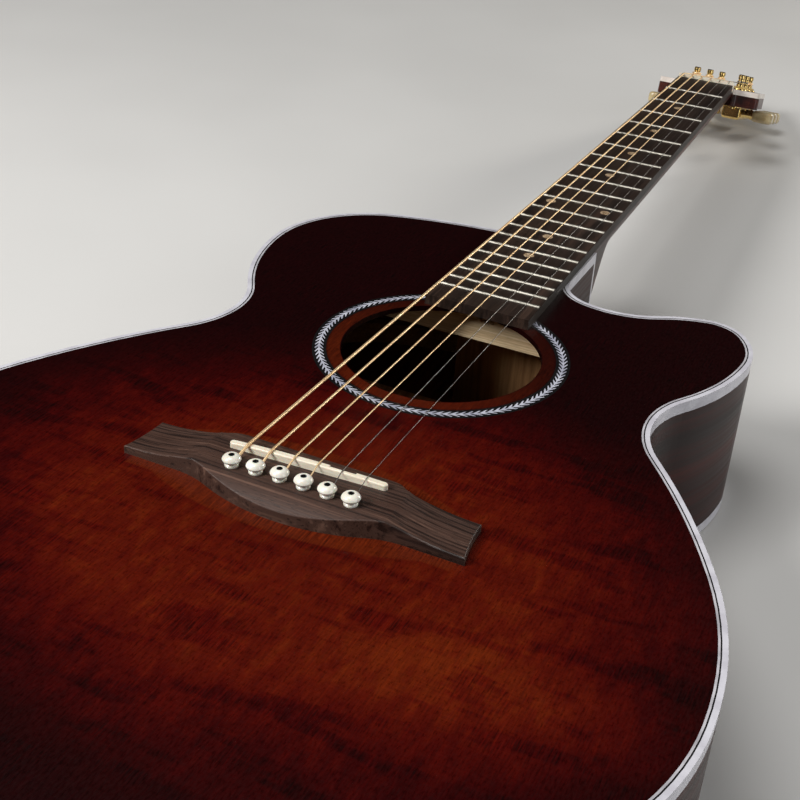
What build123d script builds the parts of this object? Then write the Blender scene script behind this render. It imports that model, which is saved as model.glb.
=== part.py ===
from build123d import *
from math import cos, exp, radians, sin, sqrt, tan
import os

# Steel-string acoustic guitar with one cutaway, millimetres.
# Origin: centre of the soundhole on the outer face of the top.
# +Y runs towards the headstock, +X towards the treble side, +Z out of the top.

# ---- driving dimensions ----
scale_length = 648.0
saddle_line_y = -132.0
nut_y = saddle_line_y + scale_length
fret_count = 21
body_front_y = 156.6
body_tail_y = -332.0
soundhole_r = 49.5

depth_at_front = 85.0
depth_at_tail = 107.0
depth_slope = (depth_at_tail - depth_at_front) / (body_front_y - body_tail_y)
top_thickness = 2.8
back_thickness = 2.6
side_thickness = 2.2
binding_height = 6.0
purfling_black = 0.6
purfling_white = 0.9
purfling_depth = 1.5
lining_width = 6.0
lining_height = 13.0

rosette_inner_r = 56.5
rosette_outer_r = 63.5
rosette_depth = 1.5

board_thickness = 5.6
board_end_y = 43.5
board_width_nut = 44.0
board_width_last = 57.4
fret_height = 0.9
fret_width = 2.2
tang_width = 0.5
tang_depth = 1.8

head_tilt = 16.0
head_thickness = 11.5
overlay_thickness = 1.5
nut_thickness = 5.0
head_start_y = nut_y + nut_thickness
post_v = (45.0, 85.0, 125.0)
post_u = (18.7, 15.6, 12.5)
post_r = 3.1
post_top = 12.4
wrap_height = 6.0
key_offset_v = 6.5
key_axis_n = -(head_thickness + 5.2)

bridge_top = 8.8
bridge_tip = 3.6
saddle_top = 12.2
saddle_thickness = 3.0
pin_x = (-27.25, -16.35, -5.45, 5.45, 16.35, 27.25)
pin_y = (-149.6, -149.0, -148.6, -148.6, -149.0, -149.6)
pin_shaft_r = 2.7
pin_head_r = 4.0
pin_taper = 0.026

string_d = (1.35, 1.07, 0.81, 0.61, 0.41, 0.30)
saddle_string_x = (-26.5, -15.9, -5.3, 5.3, 15.9, 26.5)
nut_string_x = (-18.5, -11.1, -3.7, 3.7, 11.1, 18.5)
saddle_string_y = (-137.9, -137.3, -136.7, -136.2, -135.7, -135.1)
slot_floor_z = 6.9

rod_axis_z = -8.0
gap = 0.05


# ---- general helpers ----
def span(x0, x1, y0, y1, z0, z1):
    """An upright block between two corners."""
    block = Box(x1 - x0, y1 - y0, z1 - z0)
    return Pos((x0 + x1) / 2, (y0 + y1) / 2, (z0 + z1) / 2) * block


def rod_between(start, end, radius):
    """A round bar from one point to another."""
    start, end = Vector(start), Vector(end)
    along = end - start
    plane = Plane(origin=start, z_dir=along)
    return extrude(plane * Circle(radius), along.length)


def arc_chain(start, tangent, points):
    """Arcs that each leave the last one without a corner."""
    edges = []
    for point in points:
        arc = TangentArc(start, point, tangent=tangent)
        edges.append(arc)
        start, tangent = point, arc % 1
    return edges


def s_curve(start, end, share, tangent):
    """Two arcs that leave and arrive in the same direction."""
    middle = (
        start[0] + share * (end[0] - start[0]),
        start[1] + share * (end[1] - start[1]),
    )
    return arc_chain(start, tangent, [middle, end])


def write(name, shape):
    """Write one sub-part, as one solid or as a group of separate solids."""
    solids = shape.solids()
    whole = solids[0] if len(solids) == 1 else Compound(children=list(solids))
    export_step(whole, f"parts/{name}.step")


def group(shapes):
    return Compound(children=[solid for shape in shapes for solid in shape.solids()])


def fret_y(number):
    return saddle_line_y + scale_length * 2 ** (-number / 12)


def board_width(y):
    taper = (board_width_last - board_width_nut) / (nut_y - fret_y(fret_count))
    return board_width_nut + taper * (nut_y - y)


def body_depth(y):
    return depth_at_front + depth_slope * (body_front_y - y)


# ---- body outline ----
waist = (111.5, -11.0)
waist_bass = (-111.5, -11.0)
corner_x = 28.6
lower_bout = [(121.5, -40.3), (165.8, -112.0), (184.3, -192.0), (118.7, -302.0), (0, body_tail_y)]
bass_shoulder = [(-118.7, 13.4), (-139.8, 78.2), (-95.4, 143.6), (-27.3, body_front_y)]
cutaway = [
    (119.4, 14.8),
    (137.6, 66.6),
    (128.4, 97.2),
    (106.1, 105.4),
    (83.3, 96.2),
    (44.0, 90.9),
    (corner_x, 112.0),
]


def body_outline():
    edges = arc_chain(waist, (0, -1), lower_bout)
    edges += arc_chain(waist_bass, (0, -1), [(-x, y) for x, y in lower_bout])
    edges += arc_chain(waist_bass, (0, 1), bass_shoulder)
    edges += arc_chain(waist, (0, 1), cutaway)
    corner = (corner_x, body_front_y)
    edges += [Line(bass_shoulder[-1], corner), Line(corner, cutaway[-1])]
    return make_face(Wire.combine([edge.edge() for edge in edges])[0].edges())


outline = body_outline()
insets = {0: outline}


def inset(distance):
    """The body outline moved inwards."""
    key = round(distance, 3)
    if key not in insets:
        insets[key] = offset(outline, amount=-key, kind=Kind.INTERSECTION)
    return insets[key]


def plate(face, z0, z1):
    return extrude(Pos(0, 0, z0) * face, z1 - z0, dir=(0, 0, 1))


def band(outer, inner, z0, z1):
    """A strip that follows the outline between two insets."""
    return plate(inset(outer), z0, z1) - plate(inset(inner), z0 - 1, z1 + 1)


def back_layer(low, high):
    """The tilted layer between two heights above the outside of the back."""
    y0, y1 = body_tail_y - 40, nut_y + 200
    corners = [
        (y0, low - body_depth(y0)),
        (y1, low - body_depth(y1)),
        (y1, high - body_depth(y1)),
        (y0, high - body_depth(y0)),
    ]
    face = make_face(Polyline(*corners, close=True))
    return extrude(Plane.YZ * face, 230, both=True)


binding_inset = side_thickness
black_inset = binding_inset + purfling_black
white_inset = black_inset + purfling_white
inner_inset = side_thickness + lining_width
floor_z = -top_thickness
full_depth = -130.0


# ---- strings and pin holes ----
def string_r(i):
    return string_d[i] / 2


def string_hole_y(i):
    """Where a string rises in the front wall of its pin hole."""
    return pin_y[i] + pin_shaft_r + string_r(i) + 0.35


def saddle_height(x):
    return saddle_top - 0.9 * (x / 35.0) ** 2


def pin_radius(z):
    return pin_shaft_r + pin_taper * (z - bridge_top)


def pin_hole(i, z0, z1):
    """A tapered hole for the pin, with a groove for the string."""
    low, high = pin_radius(z0) + gap, pin_radius(z1) + gap
    cone = Pos(pin_x[i], pin_y[i], (z0 + z1) / 2) * Cone(low, high, z1 - z0)
    top = (pin_x[i], string_hole_y(i), z1)
    groove = rod_between((pin_x[i], string_hole_y(i), z0), top, string_r(i) + 0.2)
    return cone + groove


def pin_holes(z0, z1):
    holes = pin_hole(0, z0, z1)
    for i in range(1, 6):
        holes += pin_hole(i, z0, z1)
    return holes


# ---- plates, sides and trim ----
def soundboard():
    top = plate(inset(binding_inset), floor_z, 0)
    top += plate(outline, floor_z, 0) & neck_seat()
    top -= band(binding_inset - 0.5, white_inset, -purfling_depth, 1)
    ring = Circle(rosette_outer_r) - Circle(rosette_inner_r)
    top -= plate(ring, -rosette_depth, 1)
    top -= plate(Circle(soundhole_r), floor_z - 1, 1)
    return top - pin_holes(floor_z - 1, 1)


def neck_seat():
    """The width behind the heel where sides and binding stop."""
    x1 = corner_x - side_thickness
    return span(-24, x1, body_front_y - 8, body_front_y + 1, full_depth, 1)


def top_binding():
    return band(0, binding_inset, -binding_height, 0) - neck_seat()


def rosette():
    return plate(Circle(rosette_outer_r) - Circle(rosette_inner_r), -rosette_depth, 0)


def side_wall():
    wall = band(0, side_thickness, full_depth, -binding_height)
    wall &= back_layer(binding_height, 300)
    wall -= trim_post()
    return wall - neck_seat()


def side_half(sign):
    wall = side_wall() - strap_screw_hole(side_thickness + gap)
    keep = span(0, 300, -400, 300, -200, 50) if sign > 0 else span(-300, 0, -400, 300, -200, 50)
    return wall & keep


def trim_post():
    """The square strip down the corner between the cutaway and the heel."""
    low, high = -body_depth(body_front_y) + binding_height, -binding_height
    x0 = corner_x - side_thickness
    return span(x0, corner_x, body_front_y - side_thickness, body_front_y, low, high)


def back_plate():
    return plate(inset(binding_inset), full_depth, 0) & back_layer(0, back_thickness)


def back_binding():
    return band(0, binding_inset, full_depth, 0) & back_layer(0, binding_height)


# ---- inside the body ----
block_face_y = 96.0
block_x = (-29.0, corner_x - side_thickness)
tail_block_y = body_tail_y + 20.0
tail_block_x = 46.0
strap_z = -body_depth(body_tail_y) / 2


def block_space(z1=0):
    return span(block_x[0], block_x[1], block_face_y, body_front_y, full_depth, z1)


def tail_space():
    return span(-tail_block_x, tail_block_x, body_tail_y, tail_block_y, full_depth, 0)


def tenon(clearance):
    half = 12.0 + clearance
    front = body_front_y - 24 - clearance
    return span(-half, half, front, body_front_y, -66 - clearance, -13.6 + clearance)


def rod_channel():
    slot = span(-5, 5, block_face_y - 1, body_front_y + 1, rod_axis_z, 0)
    start = (0, block_face_y - 1, rod_axis_z)
    return slot + rod_between(start, (0, body_front_y + 1, rod_axis_z), 5)


def neck_block():
    block = block_space(floor_z) & plate(inset(0), full_depth, 0)
    block &= back_layer(back_thickness, 300)
    block -= side_wall() + trim_post()
    block -= top_binding() + back_binding()
    return block - rod_channel() - tenon(0.1)


def tail_block():
    block = tail_space() & plate(inset(side_thickness), full_depth, floor_z)
    block &= back_layer(back_thickness, 300)
    return block - strap_screw_hole(30)


def strap_screw_hole(length):
    end = (0, body_tail_y + length, strap_z)
    return rod_between((0, body_tail_y - 2, strap_z), end, 2.2 + gap)


def strap_button():
    """Turned button with a waist for the strap, and its screw."""
    profile = [
        (0, 0),
        (6.0, 0),
        (6.0, 1.5),
        (4.2, 3.0),
        (4.2, 7.0),
        (6.5, 8.5),
        (6.5, 12.0),
        (5.0, 13.2),
        (0, 13.2),
    ]
    face = make_face(Polyline(*profile, close=True))
    button = revolve(Plane.XZ * face, Axis.Z)
    button = Pos(0, body_tail_y, strap_z) * Rot(90, 0, 0) * button
    end = (0, body_tail_y + 22, strap_z)
    return button + rod_between((0, body_tail_y - 1, strap_z), end, 2.2)


def lining(layer):
    strip = plate(inset(side_thickness), full_depth, 0) - plate(inset(inner_inset), full_depth, 0)
    return (strip & layer) - block_space() - tail_space()


def brace(x, y, angle, length, width, height):
    """A brace under the top, with ends that slope to nothing much."""
    half, tip, slope = length / 2, 4.0, 34.0
    corners = [(-half, 0), (half, 0), (half, -tip), (half - slope, -height)]
    corners += [(slope - half, -height), (-half, -tip)]
    face = make_face(Polyline(*corners, close=True))
    bar = extrude(Plane.XZ * face, width / 2, both=True)
    return Pos(x, y, floor_z) * Rot(0, 0, angle) * bar


x_cross_y = -86.0
x_angle = 41.0
x_width = 8.0
x_height = 16.0


def x_braces():
    """Two long braces that cross in a half lap."""
    inside = plate(inset(inner_inset), full_depth, floor_z)
    arms = [brace(0, x_cross_y, a, 400, x_width, x_height) & inside for a in (x_angle, -x_angle)]
    lap = span(-20, 20, x_cross_y - 20, x_cross_y + 20, floor_z - x_height / 2, 0)
    upper = arms[0] - (arms[1] - lap)
    lower = arms[1] - (arms[0] & lap)
    return group([upper, lower])


def transverse_brace():
    """The tall brace by the neck block, notched for the rod wrench."""
    face_y, thickness, bottom = 62.0, 11.0, -23.5
    bar = brace(0, face_y + thickness / 2, 0, 280, thickness, floor_z - bottom)
    bar &= plate(inset(inner_inset), full_depth, floor_z)
    notch = [(-7.5, 1), (7.5, 1), (4.0, -12.0), (-4.0, -12.0)]
    face = fillet(make_face(Polyline(*notch, close=True)).vertices(), 0.8)
    cut = extrude(Plane.XZ * face, 90, both=True)
    return bar - Pos(0, face_y, 0) * cut


def tone_bars():
    bars = [brace(-28, -212, 28, 150, 7, 12), brace(0, -262, 28, 178, 7, 12)]
    for sign in (1, -1):
        bars.append(brace(sign * 104, -110, sign * 49, 72, 6, 9))
        bars.append(brace(sign * 141, -140, sign * 49, 72, 6, 9))
    inside = plate(inset(inner_inset), full_depth, floor_z)
    return group([bar & inside for bar in bars])


def bridge_plate():
    """Hardwood pad under the bridge, between the legs of the long braces."""
    corners = [(-43, -128), (43, -128), (72, -153), (72, -168), (-72, -168), (-72, -153)]
    pad = plate(make_face(Polyline(*corners, close=True)), floor_z - 2.8, floor_z)
    return pad - x_braces() - pin_holes(floor_z - 4, floor_z + 1)


back_brace_y = (66.0, -72.0, -178.0, -262.0)


def back_braces():
    inside = plate(inset(inner_inset), full_depth, 0)
    bars = []
    for y in back_brace_y:
        layer = back_layer(back_thickness, back_thickness + 14)
        bars.append(span(-200, 200, y - 4, y + 4, full_depth, 0) & layer & inside)
    return group(bars)


def back_strip():
    layer = back_layer(back_thickness, back_thickness + 2)
    strip = span(-9, 9, tail_block_y, block_face_y, full_depth, 0) & layer
    return strip - back_braces()


# ---- neck and headstock ----
head_plane = Plane(
    origin=(0, head_start_y, 0),
    x_dir=(1, 0, 0),
    z_dir=(0, sin(radians(head_tilt)), cos(radians(head_tilt))),
)
neck_depth_nut = 15.2
neck_depth_body = 18.6
heel_extra = 74.0
heel_length = 24.0


def neck_depth(y):
    share = (nut_y - y) / (nut_y - body_front_y)
    shaft = neck_depth_nut + (neck_depth_body - neck_depth_nut) * share
    return shaft + heel_extra * exp(-(((y - body_front_y) / heel_length) ** 4))


def neck_section(y):
    """Flat on top and half an ellipse below."""
    half = board_width(y) / 2
    flat = Line((-half, 0), (half, 0))
    belly = EllipticalCenterArc((0, 0), half, neck_depth(y), 180, arc_size=180)
    plane = Plane(origin=(0, y, 0), x_dir=(1, 0, 0), z_dir=(0, -1, 0))
    return plane * make_face([flat, belly])


def heel_stations():
    return [body_front_y + step for step in range(0, 61, 5)]


def neck_shaft():
    """A heel that swells out of an even shaft."""
    heel = loft([neck_section(y) for y in heel_stations()])
    shaft_ends = (heel_stations()[-1], head_start_y + 12)
    return heel + loft([neck_section(y) for y in shaft_ends], ruled=True)


def head_outline(distance=0):
    """Headstock outline: shoulders by the nut, then a taper to the end."""
    right = [(22.0, 0), (22.0, 5.5), (42.0, 14.0), (33.4, 46.0), (26.0, 141.0)]
    points = right + [(-u, v) for u, v in reversed(right)]
    face = make_face(Polyline(*points, close=True))
    radii = {1: 4.5, 2: 4.0, 3: 60.0, 4: 6.0}
    for index, radius in radii.items():
        u, v = right[index]
        for sign in (1, -1):
            corner = min(face.vertices(), key=lambda p: (p.X - sign * u) ** 2 + (p.Y - v) ** 2)
            face = fillet(corner, radius)
    if distance:
        face = offset(face, amount=-distance, kind=Kind.INTERSECTION)
    return face


def head_layer(face, low, high):
    return head_plane * plate(face, low, high)


head_binding_width = 1.6
head_binding_low = -2.5


def head_binding():
    ring = plate(head_outline(), head_binding_low, overlay_thickness)
    ring -= plate(head_outline(head_binding_width), head_binding_low - 1, 5)
    ring -= span(-60, 60, -5, head_binding_width + 0.4, -20, 20)
    return head_plane * ring


def post_places():
    """Side, and place on the headstock, of the six tuners, by string."""
    bass = [(-1, u, v) for u, v in zip(post_u, post_v)]
    treble = [(1, u, v) for u, v in zip(reversed(post_u), reversed(post_v))]
    return bass + treble


def head_holes(radius, low, high):
    holes = None
    for sign, u, v in post_places():
        hole = Pos(sign * u, v, (low + high) / 2) * Cylinder(radius, high - low)
        holes = hole if holes is None else holes + hole
    return head_plane * holes


bushing_r = 4.3


def headstock_overlay():
    face = head_outline(head_binding_width)
    sheet = plate(face, 0, overlay_thickness) + (
        plate(head_outline(), 0, overlay_thickness) & span(-22, 22, 0, 2, 0, overlay_thickness)
    )
    return head_plane * sheet - head_binding() - head_holes(bushing_r + gap, -1, 4)


def neck():
    shaft = neck_shaft() & back_layer(3.0, 300)
    above = span(-60, 60, 0.0, 60, 0.0, 60)
    shaft -= head_plane * above
    shaft += head_layer(head_outline(), -head_thickness, 0)
    shaft += tenon(0)
    shaft -= head_binding() + truss_channel()
    shaft -= head_holes(bushing_r + gap, -head_thickness - 5, 4)
    return shaft - screw_holes()


def heel_cap():
    return neck_shaft() & back_layer(0, 3.0)


def truss_channel():
    return span(-3.2, 3.2, body_front_y - 1, 508, -10.8, 1)


def truss_rod():
    """Round tension rod under a flat bar, joined at both ends."""
    bar = span(-3, 3, 118, 506, -5.4, -3.0)
    far = span(-3, 3, 496, 506, -10.6, -3.0)
    near = span(-3, 3, 118, 128, -10.6, -3.0)
    tension = rod_between((0, 98, rod_axis_z), (0, 500, rod_axis_z), 2.4)
    return bar + far + near + tension


def truss_rod_nut():
    """Round nut with a hexagonal socket for the wrench."""
    body = rod_between((0, 90, rod_axis_z), (0, 104, rod_axis_z), 4.2)
    bore = rod_between((0, 97.5, rod_axis_z), (0, 105, rod_axis_z), 2.4 + gap)
    socket = Pos(0, 96, rod_axis_z) * Rot(90, 0, 0) * extrude(RegularPolygon(2.6, 6), 7)
    return body - bore - socket


# ---- fingerboard, frets and nut ----
dot_frets = (3, 5, 7, 9, 15, 17)
octave_fret = 12
dot_r = 3.0
dot_depth = 1.2
side_dot_r = 1.0


dot_share = 0.62


def dot_y(number):
    """Dots sit a little nearer the nut than the middle of their fret space."""
    return fret_y(number) + dot_share * (fret_y(number - 1) - fret_y(number))


def dot_places():
    places = [(0, dot_y(number)) for number in dot_frets]
    return places + [(-17.5, dot_y(octave_fret)), (17.5, dot_y(octave_fret))]


def front_dots(clearance, top):
    dots = []
    for x, y in dot_places():
        height = dot_depth + top
        centre = board_thickness - dot_depth + height / 2
        dots.append(Pos(x, y, centre) * Cylinder(dot_r + clearance, height))
    return dots


def side_dots(clearance, out):
    """Small markers in the bass edge of the fingerboard."""
    dots = []
    for number in dot_frets + (octave_fret,):
        y = dot_y(number)
        edge = -board_width(y) / 2
        start = (edge - out, y, board_thickness / 2)
        dots.append(rod_between(start, (edge + 1.5, y, board_thickness / 2), side_dot_r + clearance))
    return dots


def board_blank():
    near, far = board_width(board_end_y) / 2, board_width(nut_y) / 2
    corners = [(-near, board_end_y), (near, board_end_y), (far, nut_y), (-far, nut_y)]
    return plate(make_face(Polyline(*corners, close=True)), 0, board_thickness)


def position_dots():
    flush = [dot & board_blank() for dot in side_dots(0, 1)]
    return group(front_dots(0, 0) + flush)


def fret(number):
    """Crown with a rounded top, on a tang that sits in the slot."""
    y, half = fret_y(number), board_width(fret_y(number)) / 2 - 0.3
    base = board_thickness
    crown = ThreePointArc(
        (y - fret_width / 2, base), (y, base + fret_height), (y + fret_width / 2, base)
    )
    chord = Line((y + fret_width / 2, base), (y - fret_width / 2, base))
    bar = extrude(Plane.YZ * make_face([crown, chord]), half, both=True)
    tang = span(
        0.5 - half, half - 0.5, y - tang_width / 2, y + tang_width / 2, base - tang_depth, base + 0.1
    )
    return bar + tang


def fret_slot(number):
    y, half = fret_y(number), board_width(fret_y(number)) / 2 - 0.3
    wide = tang_width / 2 + 0.02
    low = board_thickness - tang_depth - 0.1
    return span(-half, half, y - wide, y + wide, low, board_thickness + 1)


def fingerboard():
    board = board_blank()
    for number in range(1, fret_count + 1):
        board -= fret_slot(number)
    for dot in front_dots(0.02, 1) + side_dots(0.02, 1):
        board -= dot
    return board


def frets():
    return group([fret(number) for number in range(1, fret_count + 1)])


def nut():
    """Nut blank with a sloped crown and one slot for each string."""
    half = board_width_nut / 2
    end_y = nut_y + nut_thickness
    side = [(nut_y, 0), (end_y, 0), (end_y, 6.4), (nut_y + 2.0, 7.9), (nut_y, 7.9)]
    blank = extrude(Plane.YZ * make_face(Polyline(*side, close=True)), half, both=True)
    middle = nut_y + 2.5
    drop = tan(radians(head_tilt + 3)) * (end_y + 1 - middle)
    for i, x in enumerate(nut_string_x):
        floor = [(nut_y - 1, slot_floor_z), (middle, slot_floor_z), (end_y + 1, slot_floor_z - drop)]
        floor += [(end_y + 1, 12), (nut_y - 1, 12)]
        cut = extrude(
            Plane.YZ * make_face(Polyline(*floor, close=True)), string_r(i) + 0.3, both=True
        )
        blank -= Pos(x, 0, 0) * cut
    return blank


# ---- bridge, saddle and pins ----
def bridge_outline():
    """Belly bridge: narrow wings, a raised front and a belly behind."""
    front_y, wing_front_y, wing_back_y, belly_y = -124.5, -130.4, -153.0, -164.0
    half = [Line((0, front_y), (33, front_y))]
    half += s_curve((33, front_y), (47, wing_front_y), 0.5, (1, 0))
    half.append(Line((47, wing_front_y), (75, -129.2)))
    half.append(ThreePointArc((75, -129.2), (75.7, -141.0), (78, wing_back_y)))
    half.append(Line((78, wing_back_y), (52, wing_back_y)))
    half += s_curve((52, wing_back_y), (0, belly_y), 0.3, (-1, 0))
    edges = [edge.edge() for edge in half]
    edges += [edge.mirror(Plane.YZ) for edge in edges]
    return make_face(edges)


def saddle_plane(z):
    """Lies along the saddle, which is set further back on the bass side."""
    bass, treble = Vector(-35.5, -137.2, z), Vector(35.5, -133.4, z)
    return Plane(origin=(bass + treble) * 0.5, x_dir=treble - bass, z_dir=(0, 0, 1))


saddle_half = 35.5
saddle_foot = 3.6


def saddle():
    foot = SlotOverall(2 * saddle_half, saddle_thickness)
    blank = saddle_plane(saddle_foot) * extrude(foot, 20)
    crown = ThreePointArc((-40, saddle_height(-40)), (0, saddle_top), (40, saddle_height(40)))
    rest = Polyline((40, saddle_height(40)), (40, 0), (-40, 0), (-40, saddle_height(-40)))
    blank &= Pos(0, -135, 0) * extrude(Plane.XZ * make_face([crown, rest]), 10, both=True)
    step = saddle_plane(saddle_top - 1.4) * span(9.5, 21.5, 0.0, 3, 0, 5)
    crest = [edge for edge in blank.edges() if edge.center().Z > bridge_top + 1 and edge.length > 5]
    return fillet(crest, 0.7) - step


bridge_lip_r = 0.6


def rim_edges(block):
    """The edges where a wall of the bridge meets its top."""
    walls = [face for face in block.faces() if abs(face.normal_at(face.center()).Z) < 0.15]
    rims = []
    for edge in block.edges():
        level = edge.center().Z > 2 and abs((edge % 0.5).Z) < 0.9
        if level and any(edge.is_same(other) for wall in walls for other in wall.edges()):
            rims.append(edge)
    return rims


def bridge_roll():
    """Side view of the bridge: flat over the saddle and pins, rolled down behind and in front."""
    back, front = -166.0, -122.0
    behind = ThreePointArc((back, 3.4), (-160.5, 7.0), (-153.0, bridge_top))
    ahead = ThreePointArc((-130.0, bridge_top), (-126.0, 7.9), (front, 5.6))
    flat = Line((-153.0, bridge_top), (-130.0, bridge_top))
    rest = Polyline((front, 5.6), (front, -1), (back, -1), (back, 3.4))
    return extrude(Plane.YZ * make_face([behind, flat, ahead, rest]), 90, both=True)


def bridge():
    half_length, flat = 80.0, 44.0
    sweep_right = ThreePointArc((flat, bridge_top), (60, 5.1), (half_length, bridge_tip))
    sweep_left = ThreePointArc((-half_length, bridge_tip), (-60, 5.1), (-flat, bridge_top))
    flat_top = Line((-flat, bridge_top), (flat, bridge_top))
    rest = Polyline((half_length, bridge_tip), (half_length, 0), (-half_length, 0), (-half_length, bridge_tip))
    side = make_face([sweep_left, flat_top, sweep_right, rest])
    block = plate(bridge_outline(), 0, 20)
    block &= Pos(0, -144, 0) * extrude(Plane.XZ * side, 40, both=True)
    block &= bridge_roll()
    block = fillet(rim_edges(block), bridge_lip_r)
    slot = SlotOverall(2 * saddle_half + 0.2, saddle_thickness + 0.1)
    block -= saddle_plane(saddle_foot) * extrude(slot, 20)
    return block - pin_holes(-1, 20)


def bridge_pin(i):
    """Tapered pin with a mushroom head and an inlaid dot."""
    foot, collar, rim, crown = -7.0, 10.7, 12.0, 14.0
    dot_r, dot_depth = 1.15, 0.8
    outline_points = [(0, foot), (pin_radius(foot), foot), (pin_radius(bridge_top), bridge_top)]
    outline_points += [(2.95, bridge_top + 0.1), (2.95, bridge_top + 0.7), (2.5, bridge_top + 1.3)]
    outline_points += [(2.6, collar), (pin_head_r - 0.45, collar + 0.3), (pin_head_r, rim)]
    profile = Polyline(*outline_points)
    dome = ThreePointArc((pin_head_r, rim), (3.25, 13.25), (1.5, crown))
    axis = Polyline((1.5, crown), (0, crown), (0, foot))
    pin = revolve(Plane.XZ * make_face([profile, dome, axis]), Axis.Z)
    inlay = Pos(0, 0, crown - dot_depth / 2) * Cylinder(dot_r, dot_depth)
    return Pos(pin_x[i], pin_y[i], 0) * group([pin - inlay, inlay])


# ---- strings ----
def post_point(i, side_shift, n):
    """A point beside the post of one string, in the guitar's frame."""
    sign, u, v = post_places()[i]
    return head_plane.from_local_coords(Vector(sign * (u - side_shift), v, n))


def guitar_string(i):
    """Ball end under the bridge plate, then saddle, nut and tuner post."""
    r = string_r(i)
    rise_y = string_hole_y(i)
    ball_z = floor_z - 2.8
    lap = post_r + r
    short = sqrt((lap + 2 * r + 0.25) ** 2 - lap**2)
    end = post_point(i, lap, overlay_thickness + wrap_height)
    nut_point = Vector(nut_string_x[i], nut_y + 2.5, slot_floor_z + r + 0.08)
    towards = (nut_point - end).normalized()
    points = [
        Vector(pin_x[i], rise_y, ball_z - 1),
        Vector(pin_x[i], rise_y, bridge_top + r + 0.45),
        Vector(saddle_string_x[i], saddle_string_y[i], saddle_height(saddle_string_x[i]) + r + 0.15),
        nut_point,
        end + towards * short,
    ]
    path = FilletPolyline(*points, radius=[1.6, 3.0, 4.0])
    wire = sweep(Plane(origin=points[0], z_dir=(0, 0, 1)) * Circle(r), path=path)
    ball = Pos(pin_x[i], rise_y + 1.2, ball_z - 2.0) * Cylinder(1.9, 3.8)
    return wire + ball


# ---- tuners ----
wheel_r = 4.3
worm_r = 2.0
housing_u = 15.0
housing_v = 21.0
housing_n = 10.6
flange_v = 34.0
key_shaft_r = 2.0
screw_reach = 14.0


def at_tuner(i, shape):
    """Carry a tuner piece, made for the treble side, to its post."""
    sign, u, v = post_places()[i]
    if sign < 0:
        shape = mirror(shape, about=Plane.YZ)
    return head_plane * Pos(sign * u, v, 0) * shape


def screw_spots():
    return (-key_offset_v / 2 - screw_reach, -key_offset_v / 2 + screw_reach)


def screw_holes():
    holes = []
    for i in range(6):
        for v in screw_spots():
            pilot = Pos(0, v, -head_thickness + 3) * Cylinder(1.1, 7)
            holes.append(at_tuner(i, pilot))
    return group(holes)


def tuner_housing():
    back = -head_thickness
    middle = -key_offset_v / 2
    plate_part = Pos(0, middle, back - 0.6) * Box(housing_u - 3, flange_v, 1.2)
    plate_part = fillet(plate_part.edges().filter_by(Axis.Z), 5.0)
    case = Pos(0, middle, back - housing_n / 2) * Box(housing_u, housing_v, housing_n)
    case = fillet(case.edges().sort_by(Axis.Z)[:4] + case.edges().filter_by(Axis.Z), 2.0)
    inside = Box(housing_u - 2.4, housing_v - 2.4, housing_n - 2.6)
    cavity = Pos(0, middle, back - housing_n / 2) * inside
    shell = plate_part + case - cavity
    shell -= Pos(0, 0, back) * Cylinder(post_r + gap, 3.2)
    axle = rod_between((4, -key_offset_v, key_axis_n), (12, -key_offset_v, key_axis_n), key_shaft_r + gap)
    shell -= axle
    for v in screw_spots():
        shell -= Pos(0, v, back) * Cylinder(1.1, 6)
    return shell


def tuner_screw(v):
    back = -head_thickness
    head = Pos(0, v, back - 1.2 - 0.7) * Cylinder(2.1, 1.4)
    slot = Pos(0, v, back - 2.6) * Box(0.6, 3.4, 1.0)
    shank = Pos(0, v, back + 1.8) * Cylinder(1.0, 7.0)
    return head - slot + shank


def tuner_bushing():
    low, high = -head_thickness + 4, overlay_thickness
    sleeve = Pos(0, 0, (low + high) / 2) * Cylinder(bushing_r, high - low)
    washer = Pos(0, 0, high + 0.6) * Cylinder(6.2, 1.2)
    washer = fillet(washer.edges().sort_by(Axis.Z)[-1], 0.6)
    hexagon = Pos(0, 0, high + 1.2) * extrude(RegularPolygon(4.9, 6), 1.6)
    bore = Pos(0, 0, 0) * Cylinder(post_r + gap, 60)
    return sleeve + washer + hexagon - bore


def tuner_post(i):
    """String post with its worm wheel, and the turns of string on it."""
    foot, top = -head_thickness - housing_n + 2.2, overlay_thickness + post_top
    waist_low = overlay_thickness + wrap_height - 1.6
    waist_high = waist_low + 4.6
    points = [(0, foot), (post_r, foot), (post_r, waist_low), (post_r - 0.7, waist_low + 0.8)]
    points += [(post_r - 0.7, waist_high - 0.4), (post_r - 0.35, waist_high + 0.3)]
    points += [(post_r - 0.35, top - 0.7), (post_r - 1.0, top), (0, top)]
    post = revolve(Plane.XZ * make_face(Polyline(*points, close=True)), Axis.Z)
    post -= rod_between((-6, 0, top - 2.0), (6, 0, top - 2.0), 0.8)
    wheel_z = -head_thickness - 5.2
    wheel = Pos(0, 0, wheel_z) * Cylinder(wheel_r, 4.2)
    for tooth in range(14):
        notch = Pos(wheel_r, 0, wheel_z) * Cylinder(0.45, 6)
        wheel -= Rot(0, 0, tooth * 360 / 14) * notch
    post += wheel
    r = string_r(i)
    turns = []
    ring_r = post_r - 0.7 + r + 0.02
    count = 3
    for turn in range(count):
        z = overlay_thickness + wrap_height + 0.7 - turn * (2 * r + 0.04) + r
        turns.append(Pos(0, 0, z) * Torus(ring_r, r))
    return at_tuner(i, group([post] + turns))


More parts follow.
